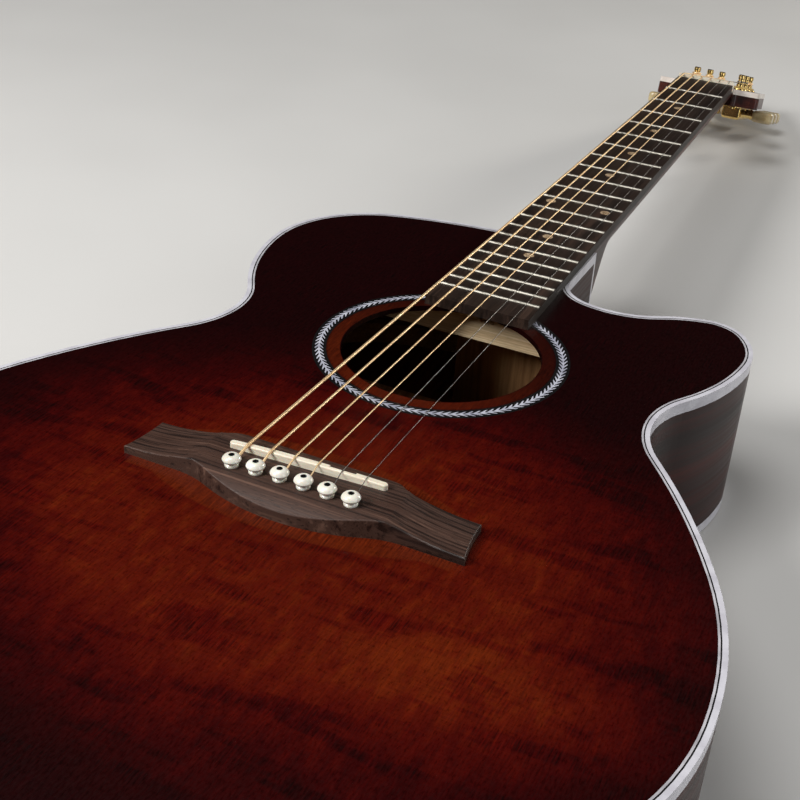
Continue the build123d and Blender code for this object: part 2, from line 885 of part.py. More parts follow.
def tuner_key(i):
    """Worm, shaft, collar and button, turning on one axis."""
    y, n = -key_offset_v, key_axis_n

    def disc(u0, u1, radius):
        return rod_between((u0, y, n), (u1, y, n), radius)

    shaft = disc(-5.6, 26.5 - 7.0, key_shaft_r)
    for ridge in range(5):
        start = -5.0 + ridge * 2.0
        shaft += disc(start, start + 1.0, worm_r + 0.12)
    shaft += disc(7.7, 9.6, 3.4) + disc(9.6, 15.0, 2.6) + disc(15.0, 17.2, 3.4)
    outline_points = [(16.6, -5.2), (33.4, -7.6), (33.4, 7.6), (16.6, 5.2)]
    button = extrude(make_face(Polyline(*outline_points, close=True)), 4.6, both=True)
    button = fillet(button.edges().filter_by(Axis.Z), 4.0)
    button = fillet(button.edges(), 2.6)
    button = Pos(0, y, n) * button - disc(10, 24, key_shaft_r)
    return at_tuner(i, group([shaft, button]))


def tuner_group(maker):
    return group([at_tuner(i, maker()) for i in range(6)])


def tuner_screws():
    return group([at_tuner(i, tuner_screw(v)) for i in range(6) for v in screw_spots()])


# ---- write every sub-part ----
parts = {
    "soundboard": soundboard,
    "back_plate": back_plate,
    "bass_side": lambda: side_half(-1),
    "treble_side": lambda: side_half(1),
    "top_lining": lambda: lining(span(-300, 300, -400, 300, floor_z - lining_height, floor_z)),
    "back_lining": lambda: lining(back_layer(back_thickness, back_thickness + lining_height)),
    "neck_block": neck_block,
    "tail_block": tail_block,
    "x_braces": x_braces,
    "transverse_brace": transverse_brace,
    "tone_bars": tone_bars,
    "bridge_plate": bridge_plate,
    "back_braces": back_braces,
    "back_strip": back_strip,
    "top_binding": top_binding,
    "purfling_black": lambda: band(binding_inset, black_inset, -purfling_depth, 0),
    "purfling_white": lambda: band(black_inset, white_inset, -purfling_depth, 0),
    "back_binding": back_binding,
    "rosette": rosette,
    "cutaway_trim": trim_post,
    "neck": neck,
    "heel_cap": heel_cap,
    "headstock_overlay": headstock_overlay,
    "headstock_binding": head_binding,
    "truss_rod": truss_rod,
    "truss_rod_nut": truss_rod_nut,
    "fingerboard": fingerboard,
    "frets": frets,
    "position_dots": position_dots,
    "nut": nut,
    "bridge": bridge,
    "saddle": saddle,
    "tuner_housings": lambda: tuner_group(tuner_housing),
    "tuner_bushings": lambda: tuner_group(tuner_bushing),
    "tuner_screws": tuner_screws,
    "strap_button": strap_button,
}
for i in range(6):
    parts[f"bridge_pin_{i + 1}"] = lambda i=i: bridge_pin(i)
    parts[f"string_{i + 1}"] = lambda i=i: guitar_string(i)
    parts[f"tuner_post_{i + 1}"] = lambda i=i: tuner_post(i)
    parts[f"tuner_key_{i + 1}"] = lambda i=i: tuner_key(i)

os.makedirs("parts", exist_ok=True)
for name, maker in parts.items():
    write(name, maker())
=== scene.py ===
from math import cos, radians, sin, tau

import bpy
from mathutils import Matrix, Vector
from mathutils.bvhtree import BVHTree


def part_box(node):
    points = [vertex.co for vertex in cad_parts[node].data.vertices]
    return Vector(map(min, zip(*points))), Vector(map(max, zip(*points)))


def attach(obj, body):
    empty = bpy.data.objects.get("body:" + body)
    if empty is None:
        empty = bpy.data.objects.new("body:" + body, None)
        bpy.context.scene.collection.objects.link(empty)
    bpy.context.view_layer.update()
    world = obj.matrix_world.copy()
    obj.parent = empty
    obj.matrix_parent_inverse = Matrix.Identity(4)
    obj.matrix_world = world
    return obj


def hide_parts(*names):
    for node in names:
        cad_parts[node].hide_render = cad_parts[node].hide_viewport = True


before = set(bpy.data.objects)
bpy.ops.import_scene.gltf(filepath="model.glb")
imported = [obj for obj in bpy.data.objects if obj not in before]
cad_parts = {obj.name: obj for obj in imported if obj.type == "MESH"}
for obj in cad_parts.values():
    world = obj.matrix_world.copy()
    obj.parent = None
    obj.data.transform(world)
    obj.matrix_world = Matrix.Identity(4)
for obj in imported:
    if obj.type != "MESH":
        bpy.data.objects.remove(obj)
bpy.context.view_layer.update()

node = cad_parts
mm = 0.001
scene = bpy.context.scene


# ---- small tools for node materials ----
class Graph:
    """One procedural material: each method adds a node and returns its output."""

    def __init__(self, name, **surface):
        self.material = bpy.data.materials.new(name)
        self.material.use_nodes = True
        self.tree = self.material.node_tree
        self.shader = self.tree.nodes["Principled BSDF"]
        for key, value in surface.items():
            self.shader.inputs[key.replace("_", " ")].default_value = value
        self.place = self.add("ShaderNodeTexCoord").outputs["Object"]

    def add(self, kind, inputs=(), **settings):
        made = self.tree.nodes.new(kind)
        for key, value in settings.items():
            setattr(made, key, value)
        for key, value in dict(inputs).items():
            self.feed(made.inputs[key], value)
        return made

    def feed(self, socket, value):
        if isinstance(value, bpy.types.NodeSocket):
            self.tree.links.new(value, socket)
        else:
            socket.default_value = value

    def math(self, kind, a, b=0.5, c=0.0):
        return self.add("ShaderNodeMath", {0: a, 1: b, 2: c}, operation=kind).outputs[0]

    def go_around(self, middle_y, radius):
        """Measure along the wall of the body instead of along x and y."""
        parts = self.add("ShaderNodeSeparateXYZ", {0: self.place})
        ahead = self.math("SUBTRACT", parts.outputs[1], middle_y)
        arc = self.math("MULTIPLY", self.math("ARCTAN2", parts.outputs[0], ahead), radius)
        self.place = self.add("ShaderNodeCombineXYZ", {1: arc, 2: parts.outputs[2]}).outputs[0]

    def vector(self, kind, a, b=(0, 0, 0)):
        return self.add("ShaderNodeVectorMath", {0: a, 1: b}, operation=kind)

    def stretched(self, x, y, z, shift=(0, 0, 0)):
        """Coordinates counted in features of these lengths, in millimetres."""
        moved = self.vector("ADD", self.place, shift).outputs[0]
        scale = (1000 / x, 1000 / y, 1000 / z)
        return self.vector("MULTIPLY", moved, scale).outputs[0]

    def grained(self, along, across, length, shift=(0, 0, 0), depth=1):
        """Features drawn out along one axis; depth makes them that many times taller in z."""
        sizes = [across, across, across * depth]
        sizes["xyz".index(along)] = length
        return self.stretched(*sizes, shift)

    def noise(self, where, detail=3.0, rough=0.5, bend=0.0):
        made = self.add(
            "ShaderNodeTexNoise",
            {"Vector": where, "Scale": 1.0, "Detail": detail, "Roughness": rough,
             "Distortion": bend},
        )
        return made.outputs["Fac"]

    def fit(self, value, low, high, to_low=0.0, to_high=1.0, smooth=True):
        kind = "SMOOTHSTEP" if smooth else "LINEAR"
        return self.add(
            "ShaderNodeMapRange",
            {"Value": value, "From Min": low, "From Max": high,
             "To Min": to_low, "To Max": to_high},
            interpolation_type=kind,
        ).outputs[0]

    def vary(self, noise, amount, base):
        """A base value moved up and down by a noise."""
        return self.math("MULTIPLY_ADD", self.math("SUBTRACT", noise, 0.5), amount, base)

    def ramp(self, value, stops):
        made = self.add("ShaderNodeValToRGB", {"Fac": value})
        points = made.color_ramp.elements
        points[0].position, points[0].color = stops[0][0], (*stops[0][1], 1)
        points[1].position, points[1].color = stops[-1][0], (*stops[-1][1], 1)
        for position, colour in stops[1:-1]:
            points.new(position).color = (*colour, 1)
        return made.outputs["Color"]

    def mix(self, share, a, b, kind="MIX"):
        made = self.add("ShaderNodeMix", {0: share}, data_type="RGBA", blend_type=kind)
        for index, value in ((6, a), (7, b)):
            self.feed(made.inputs[index], value if not isinstance(value, tuple) else (*value, 1))
        return made.outputs[2]

    def scaled(self, colour, amount):
        """A colour made darker or lighter by a varying amount."""
        grey = self.add("ShaderNodeCombineColor", {0: amount, 1: amount, 2: amount}).outputs[0]
        return self.mix(1.0, colour, grey, "MULTIPLY")

    def colour(self, value):
        self.feed(self.shader.inputs["Base Color"], value)

    def rough(self, value):
        self.feed(self.shader.inputs["Roughness"], value)

    def bump(self, height, depth, strength):
        made = self.add(
            "ShaderNodeBump", {"Height": height, "Distance": depth * mm, "Strength": strength}
        )
        self.feed(self.shader.inputs["Normal"], made.outputs[0])

    def edge(self, radius):
        """How near a point is to a sharp edge, from 0 to 1."""
        soft = self.add("ShaderNodeBevel", {"Radius": radius * mm}, samples=6).outputs[0]
        hard = self.add("ShaderNodeNewGeometry").outputs["Normal"]
        same = self.vector("DOT_PRODUCT", soft, hard).outputs["Value"]
        return self.fit(same, 0.72, 0.99, 1.0, 0.0)


def srgb(r, g, b):
    """A display colour, 0 to 255, as scene-linear values."""
    levels = (r / 255, g / 255, b / 255)
    return tuple(c / 12.92 if c <= 0.04045 else ((c + 0.055) / 1.055) ** 2.4 for c in levels)


# ---- wood ----
def ellipse_field(g, cx, cy, a, b):
    """0 at the middle of an ellipse and 1 on its edge."""
    moved = g.vector("SUBTRACT", g.place, (cx * mm, cy * mm, 0)).outputs[0]
    scaled = g.vector("MULTIPLY", moved, (1000 / a, 1000 / b, 0)).outputs[0]
    return g.vector("LENGTH", scaled).outputs["Value"]


def box_field(g, cx, cy, half_x, half_y):
    """Rough distance outside a rectangle, in metres."""
    moved = g.vector("SUBTRACT", g.place, (cx * mm, cy * mm, 0)).outputs[0]
    away = g.vector("ABSOLUTE", moved).outputs[0]
    past = g.vector("SUBTRACT", away, (half_x * mm, half_y * mm, 0)).outputs[0]
    parts = g.add("ShaderNodeSeparateXYZ", {0: past})
    return g.math("MAXIMUM", parts.outputs[0], parts.outputs[1])


burst_stops = [
    (0.00, (0.0070, 0.0002, 0.0004)),
    (0.20, (0.0125, 0.0003, 0.0004)),
    (0.40, (0.0260, 0.0005, 0.0005)),
    (0.60, (0.0480, 0.0016, 0.0006)),
    (0.80, (0.0720, 0.0044, 0.0009)),
    (1.00, (0.1080, 0.0120, 0.0015)),
]
# Bare-wood colours, also used for the painted highlight on the soundhole's rim.
bare_and_highlight_dark, bare_and_highlight_light = (0.072, 0.0070, 0.0012), (0.108, 0.0150, 0.0022)


def burst_shade(g, cloud):
    """How light the stain is: bright below the bridge, dark at the edge, in clouds and bands."""
    haze = g.noise(g.stretched(6, 15, 30, (0.3, 0.1, 0)), detail=4, rough=0.6)
    wide = g.noise(g.stretched(50, 13, 30, (0.11, 0.42, 0)), detail=3, rough=0.55)
    band = g.fit(wide, 0.50, 0.64)
    field = g.vary(cloud, 0.35, ellipse_field(g, 15, -165, 150, 118))
    glow = g.fit(field, 0.62, 1.35, 0.80, 0.0, smooth=False)
    warm = g.fit(ellipse_field(g, 118, -218, 75, 48), 0.2, 1.0, 0.24, 0.0)
    inside = g.fit(field, 0.9, 1.3, 1.0, 0.25)
    shade = g.vary(haze, g.math("MULTIPLY", inside, 0.6), g.math("ADD", glow, warm))
    return g.math("MULTIPLY_ADD", g.math("MULTIPLY", band, inside), -0.17, shade), band


def halo_and_rim_highlight_share(g, cloud):
    """Where the bare colour goes: a halo of less stain round the bridge, and a painted highlight on a ring
    round the soundhole's edge, strongest on the lit side.
    """
    belly = g.math("SUBTRACT", ellipse_field(g, 0, -140, 64, 26.0), 1.0)
    bridge_near = g.math(
        "MINIMUM", box_field(g, 0, -144, 69, 9.5), g.math("MULTIPLY", belly, 26 * mm)
    )
    near = g.math("MULTIPLY_ADD", cloud, 3.5 * mm, bridge_near)
    halo = g.fit(near, 6.0 * mm, 7.4 * mm, 0.75, 0.0)
    reach = ellipse_field(g, 0, 0, 100, 100)
    # Painted highlight: the ring at the soundhole's edge is made lighter on the front-left side, where the
    # light falls.
    lit_side = g.fit(ellipse_field(g, -25, -45, 100, 100), 0.3, 1.1, 0.55, 0.12)
    within = g.math("SUBTRACT", 1.0, g.fit(reach, 0.55, 0.575))
    ring = g.math("MULTIPLY", g.math("MULTIPLY", within, lit_side), g.fit(reach, 0.496, 0.499))
    return g.math("MAXIMUM", halo, ring)


def burst_top():
    """Spruce under a red-brown burst that darkens towards the edge."""
    g = Graph("burst_top", Coat_Weight=0.12, Coat_Roughness=0.12, Specular_IOR_Level=0.10)
    cloud = g.noise(g.stretched(70, 45, 90), detail=3, rough=0.55)
    grain = g.noise(g.stretched(0.8, 12, 3), detail=1)
    silk = g.noise(g.stretched(5, 0.9, 3, (0.4, 0.3, 0)), detail=1, bend=0.5)
    fleck = g.noise(g.stretched(0.9, 2.8, 3, (0.2, 0.5, 0)), detail=2, rough=0.6)
    shade, band = burst_shade(g, cloud)
    level = g.vary(grain, g.math("MULTIPLY_ADD", band, 1.5, 0.9), 1.0)
    level = g.vary(silk, 0.45, level)
    level = g.math("MULTIPLY", level, g.fit(fleck, 0.30, 0.46, 0.62, 1.0))
    stained = g.scaled(g.ramp(shade, burst_stops), level)
    # The bare colour also paints the highlight on the soundhole's rim.
    bare = g.scaled(g.mix(grain, bare_and_highlight_dark, bare_and_highlight_light), level)
    g.colour(g.mix(halo_and_rim_highlight_share(g, cloud), stained, bare))
    g.rough(g.fit(fleck, 0.3, 0.7, 0.34, 0.46))
    g.bump(g.math("ADD", grain, g.math("MULTIPLY", silk, 0.5)), 0.04, 0.35)
    return g.material


body_middle_y, body_radius = -170 * mm, 170 * mm


def gloss_wood(name, tones, streak, length, coat=0.35, rough=0.4, pore=0.5, around=False):
    """Stained and lacquered wood with grain along y, or around the body."""
    g = Graph(name, Coat_Weight=coat, Coat_Roughness=0.18, Specular_IOR_Level=0.2)
    if around:
        g.go_around(body_middle_y, body_radius)
    wide_place = g.grained("y", streak * 3, length * 1.6, (0.4, 0.1, 0.3))
    wide = g.noise(wide_place, detail=3, rough=0.5, bend=0.4)
    fine = g.noise(g.grained("y", streak * 0.45, length * 0.5), detail=4, rough=0.62)
    pores = g.noise(g.grained("y", 0.45, 7.0), detail=2, rough=0.5)
    body = g.ramp(g.vary(fine, 0.8, wide), list(zip((0.28, 0.52, 0.78), tones)))
    pit = g.fit(pores, 0.28, 0.42, 1.0 - pore, 1.0)
    g.colour(g.scaled(body, pit))
    g.rough(g.fit(fine, 0.3, 0.7, rough - 0.05, rough + 0.08))
    g.bump(g.math("MULTIPLY_ADD", pit, 0.7, fine), 0.04, 0.4)
    return g.material


def raw_wood(name, dark, light, along="y", pitch=1.3):
    """Bare sanded softwood with fine annual rings."""
    g = Graph(name, Specular_IOR_Level=0.3)
    ring = g.noise(g.grained(along, pitch, 90), detail=2, rough=0.6)
    soft = g.noise(g.grained(along, 18, 60, (0.2, 0.2, 0.6)), detail=3)
    hair = g.noise(g.grained(along, 0.35, 5, (0.6, 0.1, 0.2)), detail=2)
    body = g.ramp(g.vary(soft, 0.5, ring), [(0.3, light), (0.72, dark)])
    g.colour(g.scaled(body, g.fit(hair, 0.25, 0.6, 0.82, 1.03)))
    g.rough(g.fit(ring, 0.3, 0.7, 0.64, 0.80))
    g.bump(g.math("ADD", ring, hair), 0.06, 0.5)
    return g.material


def rosewood(name, along, dark, mid, light, streak, length, sheen):
    """Open-pored dark wood with long streaks of lighter and darker brown."""
    g = Graph(name, Specular_IOR_Level=sheen)

    def sized(across, lengthwise, shift=(0, 0, 0)):
        return g.grained(along, across, lengthwise, shift, depth=4)

    broad_place = sized(streak * 3.2, length * 1.5, (0.31, 0.17, 0.05))
    broad = g.noise(broad_place, detail=3, rough=0.5, bend=0.5)
    line = g.noise(sized(streak, length, (0.1, 0.6, 0.2)), detail=3, rough=0.55, bend=0.2)
    fine = g.noise(sized(0.5, length * 0.4), detail=3, rough=0.6)
    pores = g.noise(sized(0.28, 3.2), detail=1, rough=0.5)
    value = g.vary(fine, 0.35, g.vary(line, 1.1, broad))
    body = g.ramp(value, [(0.30, dark), (0.47, mid), (0.60, mid), (0.80, light)])
    pit = g.fit(pores, 0.30, 0.40, 0.45, 1.0)
    worn = g.math("MULTIPLY", g.edge(0.5), 0.35)
    g.colour(g.mix(worn, g.scaled(body, pit), light))
    g.rough(g.fit(line, 0.3, 0.7, 0.42, 0.60))
    g.bump(g.math("MULTIPLY_ADD", pit, 1.2, fine), 0.09, 0.55)
    return g.material


# ---- plastics, bone, pearl and metals ----
def smooth_plastic(name, base, deep, rough, coat=0.3, glow=0.0, scratch=0.3):
    """Polished plastic with faint clouding and fine scratches; glow is light let into it."""
    g = Graph(
        name, Coat_Weight=coat, Coat_Roughness=0.1, Subsurface_Weight=glow, Subsurface_Scale=2 * mm
    )
    cloud = g.noise(g.stretched(9, 9, 9, (0.1, 0.5, 0.2)), detail=4, rough=0.55)
    dust = g.noise(g.stretched(0.7, 0.7, 0.7), detail=3, rough=0.6)
    g.colour(g.mix(g.fit(cloud, 0.32, 0.68), deep, base))
    g.rough(g.fit(dust, 0.3, 0.7, rough - 0.04 * scratch, rough + 0.25 * scratch))
    g.bump(dust, 0.015, scratch)
    return g.material


def ivory_bone():
    """Ivory-coloured nut and saddle stock, slightly streaked."""
    g = Graph(
        "ivory_bone", Coat_Weight=0.25, Coat_Roughness=0.2, Subsurface_Weight=0.12,
        Subsurface_Scale=2 * mm,
    )
    vein = g.noise(g.stretched(14, 1.1, 1.1, (0.2, 0.2, 0.1)), detail=4, rough=0.6, bend=0.4)
    cloud = g.noise(g.stretched(6, 6, 6), detail=3)
    speck = g.noise(g.stretched(0.35, 0.35, 0.35), detail=2)
    body = g.mix(g.fit(vein, 0.3, 0.7), srgb(216, 205, 184), srgb(236, 229, 212))
    body = g.mix(g.fit(cloud, 0.35, 0.7, 0.0, 0.35), body, srgb(218, 204, 178))
    g.colour(g.scaled(body, g.fit(speck, 0.28, 0.42, 0.86, 1.0)))
    g.rough(g.fit(cloud, 0.3, 0.7, 0.32, 0.48))
    g.bump(g.math("ADD", speck, vein), 0.02, 0.5)
    return g.material


worn_gold = (0.95, 0.90, 0.80)


def metal(name, base, dull, rough, brushed=(0.5, 6.0, 0.5), wear=0.0):
    """Plated or polished metal with fine brushing and a little tarnish."""
    g = Graph(name, Metallic=1.0)
    brush = g.noise(g.stretched(*brushed), detail=3, rough=0.6)
    stain = g.noise(g.stretched(5, 5, 5, (0.5, 0.2, 0.1)), detail=4, rough=0.6)
    body = g.mix(g.fit(stain, 0.40, 0.72), base, dull)
    if wear:
        body = g.mix(g.math("MULTIPLY", g.edge(0.4), wear), body, worn_gold)
    g.colour(body)
    matt = g.math("ADD", g.math("MULTIPLY", brush, 0.6), g.math("MULTIPLY", stain, 0.4))
    g.rough(g.fit(matt, 0.3, 0.7, rough - 0.06, rough + 0.14))
    g.bump(brush, 0.012, 0.4)
    return g.material


def wound_wire(name, base, dull, turn):
    """Round wire wrapped in fine turns, with painted shade in the grooves between them."""
    g = Graph(name, Metallic=0.7, Specular_IOR_Level=0.8)
    where = g.stretched(8, turn, 8)
    parts = g.add("ShaderNodeSeparateXYZ", {0: where})
    wave = g.math("SINE", g.math("MULTIPLY", parts.outputs[1], tau))
    turns = g.math("ABSOLUTE", wave)
    stain = g.noise(g.stretched(3, 18, 3, (0.1, 0.3, 0.2)), detail=3)
    body = g.mix(g.fit(stain, 0.35, 0.7), base, dull)
    # Painted shade: the colour is made a little darker in the grooves between the turns.
    g.colour(g.scaled(body, g.fit(turns, 0.0, 0.8, 0.95, 1.0)))
    g.rough(g.fit(stain, 0.3, 0.7, 0.42, 0.50))
    g.bump(turns, 0.002, 0.05)
    return g.material


def tan_pearl():
    """Tan pearl dot with soft bands."""
    g = Graph("pearl_tan", Coat_Weight=0.5, Coat_Roughness=0.12)
    band = g.noise(g.stretched(1.6, 3.0, 2.0, (0.2, 0.1, 0)), detail=3, rough=0.55, bend=1.6)
    stops = [(0.3, srgb(112, 88, 66)), (0.5, srgb(168, 142, 112)), (0.72, srgb(206, 188, 162))]
    g.colour(g.ramp(band, stops))
    g.rough(g.fit(band, 0.3, 0.7, 0.22, 0.36))
    g.bump(band, 0.01, 0.3)
    return g.material


def floor_paint():
    """Matt pale paint."""
    g = Graph("floor_paint", Specular_IOR_Level=0.25)
    cloud = g.noise(g.stretched(420, 420, 420), detail=3)
    fine = g.noise(g.stretched(2.0, 2.0, 2.0), detail=2)
    g.colour(g.mix(g.fit(cloud, 0.3, 0.7), (0.60, 0.595, 0.585), (0.66, 0.655, 0.645)))
    g.rough(g.fit(fine, 0.3, 0.7, 0.72, 0.85))
    g.bump(fine, 0.05, 0.15)
    return g.material


def tones(*levels):
    """Dark, middle and light, each from display colours."""
    return [srgb(*level) for level in levels]


spruce_burst = burst_top()
spruce_raw = raw_wood("spruce_raw", srgb(178, 146, 104), srgb(214, 188, 148))
spruce_brace = raw_wood("spruce_brace", srgb(186, 156, 116), srgb(222, 200, 164), "x", 1.1)
block_wood = raw_wood("block_wood", srgb(118, 84, 52), srgb(158, 120, 80), "z", 2.4)
inner_wood = raw_wood("inner_wood", srgb(92, 52, 30), srgb(136, 84, 52), "y", 3.0)
side_tones = tones((22, 3, 2), (44, 8, 4), (70, 18, 9))
side_gloss = gloss_wood("side_gloss", side_tones, 3.5, 120, coat=0.10, pore=0.45, around=True)
back_tones = tones((36, 6, 4), (78, 17, 8), (118, 38, 16))
back_gloss = gloss_wood("back_gloss", back_tones, 4.5, 110, pore=0.45)
neck_tones = tones((28, 8, 5), (58, 20, 12), (86, 36, 20))
neck_gloss = gloss_wood("neck_gloss", neck_tones, 3.0, 90, rough=0.42, pore=0.4)
overlay_gloss = gloss_wood("overlay_gloss", tones((14, 8, 7), (32, 18, 15), (56, 34, 27)), 2.0, 60)
bridge_wood = rosewood("bridge_wood", "x", *tones((34, 22, 18), (66, 46, 38), (98, 72, 60)), 1.1, 150, 0.3)
board_wood = rosewood("board_wood", "y", *tones((23, 16, 13), (38, 27, 22), (60, 44, 36)), 1.5, 90, 0.22)
binding_white = smooth_plastic(
    "binding_white", srgb(208, 207, 215), srgb(190, 188, 197), 0.34, scratch=0.4
)
purfling_pale = smooth_plastic("purfling_pale", srgb(196, 194, 200), srgb(160, 158, 164), 0.4)
purfling_dark = smooth_plastic("purfling_dark", srgb(16, 14, 15), srgb(8, 7, 8), 0.35)
chevron_white = smooth_plastic("chevron_white", srgb(194, 196, 208), srgb(150, 152, 168), 0.35)
head_cream = smooth_plastic("head_cream", srgb(222, 212, 204), srgb(198, 186, 176), 0.32, coat=0.4)
pin_white = smooth_plastic(
    "pin_white", srgb(240, 238, 228), srgb(222, 217, 202), 0.26, coat=0.6, glow=0.1
)
dot_black = smooth_plastic("dot_black", srgb(12, 12, 12), srgb(5, 5, 5), 0.25, coat=0.5)
button_cream = smooth_plastic(
    "button_cream", srgb(196, 178, 136), srgb(160, 138, 96), 0.26, coat=0.6, glow=0.08
)
strap_black = smooth_plastic("strap_black", srgb(24, 22, 22), srgb(12, 11, 11), 0.4, scratch=0.6)
ivory = ivory_bone()
pearl = tan_pearl()
fret_nickel = metal(
    "fret_nickel", (0.34, 0.32, 0.28), (0.22, 0.21, 0.18), 0.40, brushed=(3.0, 0.4, 0.4)
)
rod_steel = metal("rod_steel", (0.34, 0.34, 0.35), (0.20, 0.19, 0.19), 0.38)
tuner_gold = metal(
    "tuner_gold", (0.86, 0.62, 0.24), (0.62, 0.42, 0.16), 0.16, brushed=(0.8, 0.8, 0.8), wear=0.35
)
wire_bronze = wound_wire("wire_bronze", (0.98, 0.74, 0.44), (0.90, 0.62, 0.34), 0.34)
wire_plain = metal(
    "wire_plain", (0.24, 0.23, 0.22), (0.15, 0.145, 0.14), 0.36, brushed=(0.6, 30.0, 0.6)
)


# ---- materials on the carried-over nodes ----
def dress(names, material, extra=None, chooser=None):
    """Give nodes a material; chooser gives each face its slot, 0 or one of the extra ones."""
    for name in names.split():
        mesh = node[name].data
        mesh.materials.clear()
        mesh.materials.append(material)
        for other in extra or ():
            mesh.materials.append(other)
        for polygon in mesh.polygons:
            polygon.material_index = chooser(polygon) if chooser else 0


def faces_down(face):
    return 1 if face.normal.z < -0.5 else 0


def faces_up(face):
    return 1 if face.normal.z > 0.5 else 0


back_mesh = node["back_plate"].data
back_tree = BVHTree.FromPolygons(
    [vertex.co for vertex in back_mesh.vertices], [polygon.vertices for polygon in back_mesh.polygons]
)
past_rib = 8 * mm
above_all = 300 * mm


def side_face(face):
    """0 the lacquered outside, 1 the bare inside of a rib: a step that way is over the back."""
    probe = face.center + face.normal * past_rib
    hit = back_tree.ray_cast(Vector((probe.x, probe.y, above_all)), Vector((0, 0, -1)))[0]
    return 0 if hit is None else 1


dress("soundboard", spruce_burst, [spruce_raw], faces_down)
dress("bass_side treble_side", side_gloss, [inner_wood], side_face)
dress("back_plate", back_gloss, [inner_wood], faces_up)
dress("x_braces transverse_brace bridge_plate", spruce_brace)
dress("tone_bars back_braces top_lining back_lining", spruce_raw)
dress("neck_block tail_block", block_wood)
dress("back_strip", spruce_raw)
dress("top_binding back_binding cutaway_trim", binding_white)
dress("purfling_black", purfling_dark)
dress("purfling_white", purfling_pale)
dress("headstock_binding", head_cream)
dress("neck heel_cap", neck_gloss)
dress("headstock_overlay", overlay_gloss)
dress("fingerboard", board_wood)
dress("bridge", bridge_wood)
dress("truss_rod truss_rod_nut", rod_steel)
dress("frets", fret_nickel)
dress("position_dots", pearl)
dress("nut saddle", ivory)
dress("tuner_housings tuner_bushings tuner_screws", tuner_gold)
dress("strap_button", strap_black)

string_count = 6
wound_count = 4
inlay_r = 1.3 * mm
crown_dip = 0.1 * mm


def pin_chooser(name):
    """0 the pin, 1 the dot in its crown."""
    low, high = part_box(name)
    middle = (low + high) / 2

    def choose(face):
        radius = Vector((face.center.x - middle.x, face.center.y - middle.y)).length
        on_crown = face.center.z > high.z - crown_dip and face.normal.z > 0.9
        return 1 if radius < inlay_r and on_crown else 0

    return choose


for i in range(string_count):
    pin = f"bridge_pin_{i + 1}"
    dress(pin, pin_white, [dot_black], pin_chooser(pin))


def split_parts(mesh):
    """Which loose part each face belongs to; vertices at one place count as joined."""
    places = [tuple(round(c * 1e6) for c in vertex.co) for vertex in mesh.vertices]
    parent = {place: place for place in places}

    def find(place):
        while parent[place] != place:
            parent[place] = parent[parent[place]]
            place = parent[place]
        return place

    for polygon in mesh.polygons:
        first, *others = (places[v] for v in polygon.vertices)
        for other in others:
            a, b = find(first), find(other)
            if a != b:
                parent[a] = b
    return [find(places[polygon.vertices[0]]) for polygon in mesh.polygons]


def dress_by_part(name, first, others, order_by):
    """The part that comes first by order_by(centre, size) gets one material, the rest another."""
    mesh = node[name].data
    members = {}
    for index, label in enumerate(split_parts(mesh)):
        members.setdefault(label, []).append(index)

    def order(label):
        points = [mesh.vertices[v].co for i in members[label] for v in mesh.polygons[i].vertices]
        low = Vector([min(p[axis] for p in points) for axis in range(3)])
        high = Vector([max(p[axis] for p in points) for axis in range(3)])
        return order_by((low + high) / 2, high - low)

    mesh.materials.clear()
    mesh.materials.append(first)
    mesh.materials.append(others)
    leader = min(members, key=order)
    for label, indices in members.items():
        for index in indices:
            mesh.polygons[index].material_index = 0 if label == leader else 1


def nearest_middle(centre, size):
    return abs(centre.x)


def longest(centre, size):
    return -size.length


for i in range(string_count):
    wire = wire_bronze if i < wound_count else wire_plain
    dress_by_part(f"tuner_key_{i + 1}", tuner_gold, button_cream, nearest_middle)
    dress_by_part(f"tuner_post_{i + 1}", tuner_gold, wire, longest)
    dress(f"string_{i + 1}", wire)


# ---- new pieces ----
def add_mesh(name, vertices, faces, materials, smooth):
    """A new piece in the guitar's frame, riding on the guitar."""
    mesh = bpy.data.meshes.new(name)
    mesh.from_pydata([tuple(v) for v in vertices], [], faces)
    mesh.validate()
    mesh.polygons.foreach_set("use_smooth", [smooth] * len(mesh.polygons))
    for material in materials:
        mesh.materials.append(material)
    piece = bpy.data.objects.new(name, mesh)
    scene.collection.objects.link(piece)
    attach(piece, "guitar")
    return piece


ring_width = 7.0 * mm
stroke_count = 108
edge_line = 1.45 * mm
half_spine = 0.32 * mm
stroke_slant = 2.3 * mm
# Where the white and black of one stroke start, as shares of its pitch: at the edges, at the spine.
edge_shares = (0.0, 0.13, 0.26, 0.63)
spine_shares = (0.0, 0.3, 0.6, 0.8)
white_shares = (0, 1)


